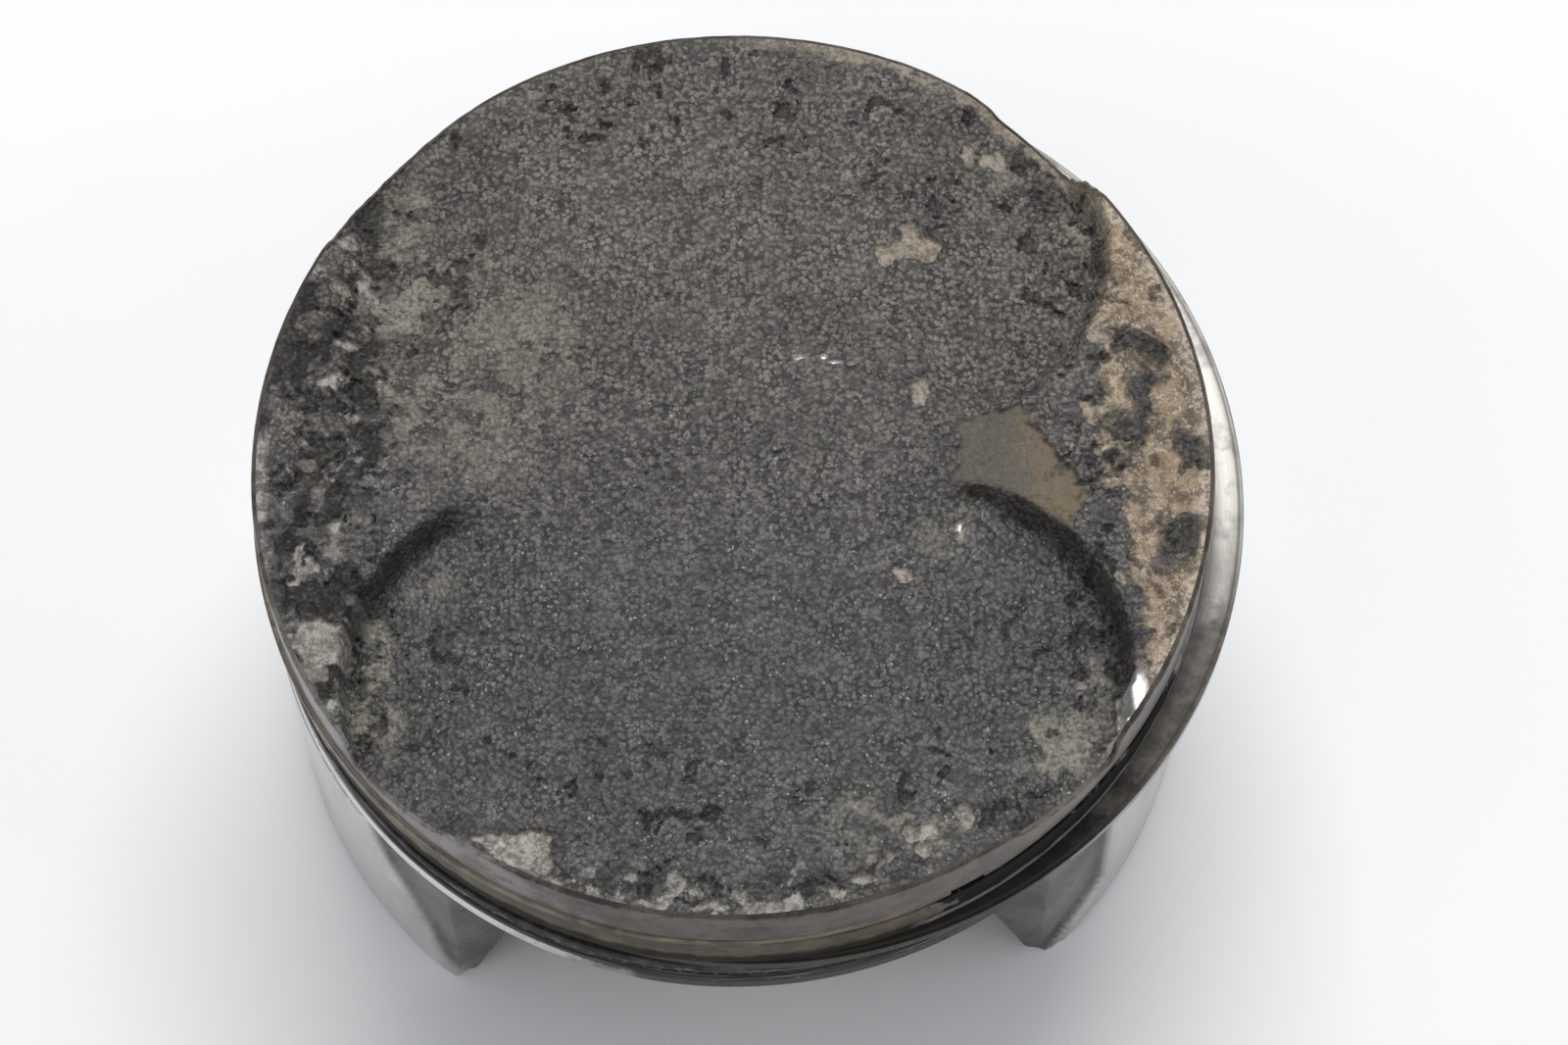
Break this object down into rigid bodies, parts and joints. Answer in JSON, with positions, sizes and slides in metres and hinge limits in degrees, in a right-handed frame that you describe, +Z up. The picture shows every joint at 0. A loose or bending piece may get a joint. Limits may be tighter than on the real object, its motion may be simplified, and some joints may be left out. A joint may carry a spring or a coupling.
{
  "type": "motorcycle piston assembly",
  "caption": "Four-stroke motorcycle piston with valve pockets in the crown, split rings, a short slipper skirt, a hollow wrist pin and circlips.",
  "frame": {"origin": "middle of the crown's flat top, on the piston's own axis; the foot of the skirt is 42 mm below", "axes": "+Z up through the crown, along the cylinder; Y along the wrist pin; +X towards the intake side"},
  "size_m": [0.0796, 0.0788, 0.042],
  "materials": {
    "body": "cast and machined, carbon on the crown",
    "top_ring": "ground, varnished brown",
    "second_ring": "ground",
    "oil_rail": "ground",
    "expander": "rolled, oily",
    "pin": "ground and polished",
    "clip": "spring wire"
  },
  "bodies": {
    "piston": {"piston_body": "body", "circlip_front": "clip", "circlip_rear": "clip"},
    "top_ring": {"top_ring": "top_ring"},
    "second_ring": {"second_ring": "second_ring"},
    "upper_rail": {"oil_upper_rail": "oil_rail"},
    "expander": {"oil_expander": "expander"},
    "lower_rail": {"oil_lower_rail": "oil_rail"},
    "pin": {"wrist_pin": "pin"}
  },
  "joints": [
    {"name": "top_ring_turn", "type": "hinge", "parent": "piston", "child": "top_ring", "pos_m": [0, 0, -0.0068], "axis": [0, 0, 1], "continuous": true},
    {"name": "second_ring_turn", "type": "hinge", "parent": "piston", "child": "second_ring", "pos_m": [0, 0, -0.0123], "axis": [0, 0, 1], "continuous": true},
    {"name": "upper_rail_turn", "type": "hinge", "parent": "piston", "child": "upper_rail", "pos_m": [0, 0, -0.0144], "axis": [0, 0, 1], "continuous": true},
    {"name": "expander_turn", "type": "hinge", "parent": "piston", "child": "expander", "pos_m": [0, 0, -0.0154], "axis": [0, 0, 1], "continuous": true},
    {"name": "lower_rail_turn", "type": "hinge", "parent": "piston", "child": "lower_rail", "pos_m": [0, 0, -0.0163], "axis": [0, 0, 1], "continuous": true},
    {"name": "pin_turn", "type": "hinge", "parent": "piston", "child": "pin", "pos_m": [0, 0, -0.028], "axis": [0, 1, 0], "continuous": true}
  ]
}
